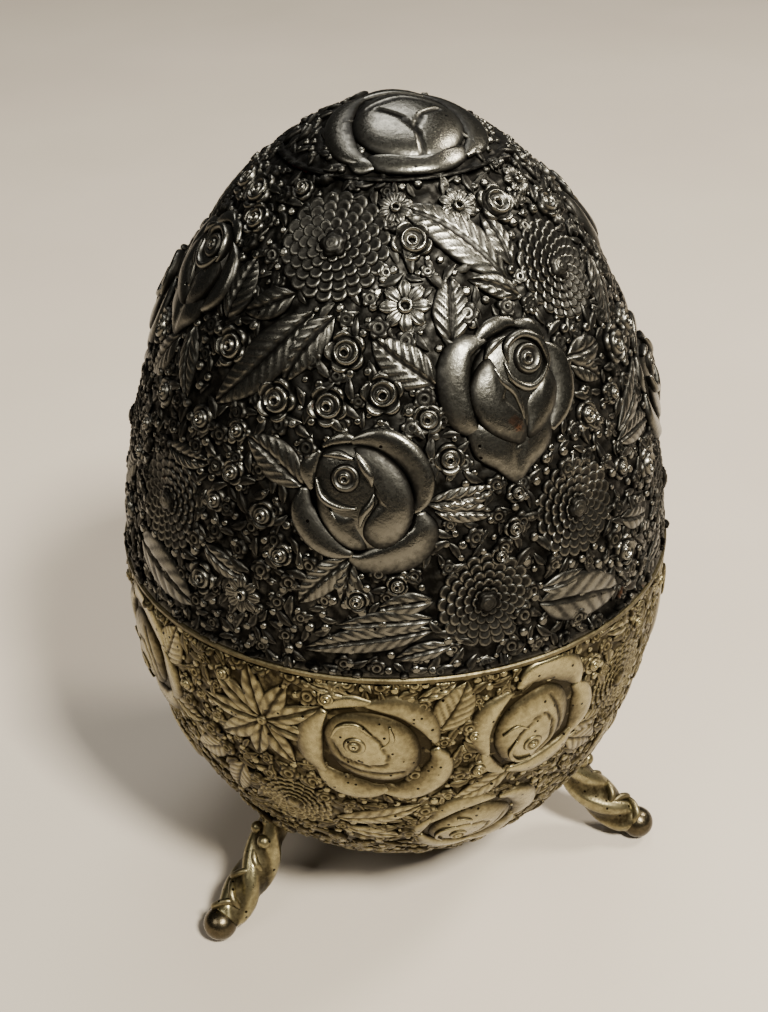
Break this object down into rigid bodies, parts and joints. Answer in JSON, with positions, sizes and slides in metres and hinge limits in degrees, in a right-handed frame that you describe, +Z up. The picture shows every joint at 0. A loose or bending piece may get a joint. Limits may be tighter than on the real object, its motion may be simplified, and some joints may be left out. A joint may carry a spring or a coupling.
{
  "type": "footed egg trinket box",
  "caption": "Hollow egg-shaped metal trinket box with a relief-decorated hinged lid, lined halves and scroll feet.",
  "frame": {"origin": "on the table plane under the egg's axis, midway between the three toes", "axes": "+Z up along the egg's axis, front towards -Y, hinge at +Y"},
  "size_m": [0.0684, 0.074, 0.1026],
  "materials": {
    "antique_silver": "oxidised and rubbed antique silver plate on cast zinc alloy",
    "gilt_brass": "pale gilt, oxidised in the recesses",
    "steel": "drawn",
    "flock": "short rayon flock on a formed card liner"
  },
  "bodies": {
    "bowl": {"bowl_shell": "gilt_brass", "bowl_rim_ring": "gilt_brass", "bowl_lining": "flock", "hinge_leaf_bowl": "gilt_brass", "hinge_pin": "steel", "foot_front_left": "gilt_brass", "foot_front_right": "gilt_brass", "foot_back": "gilt_brass"},
    "lid": {"lid_shell": "antique_silver", "lid_medallion": "antique_silver", "lid_lining": "flock", "hinge_leaf_lid": "gilt_brass"}
  },
  "joints": [
    {"name": "lid_hinge", "type": "hinge", "parent": "bowl", "child": "lid", "pos_m": [0, 0.03655, 0.04875], "axis": [-1, 0, 0], "range_deg": [0, 105]}
  ]
}
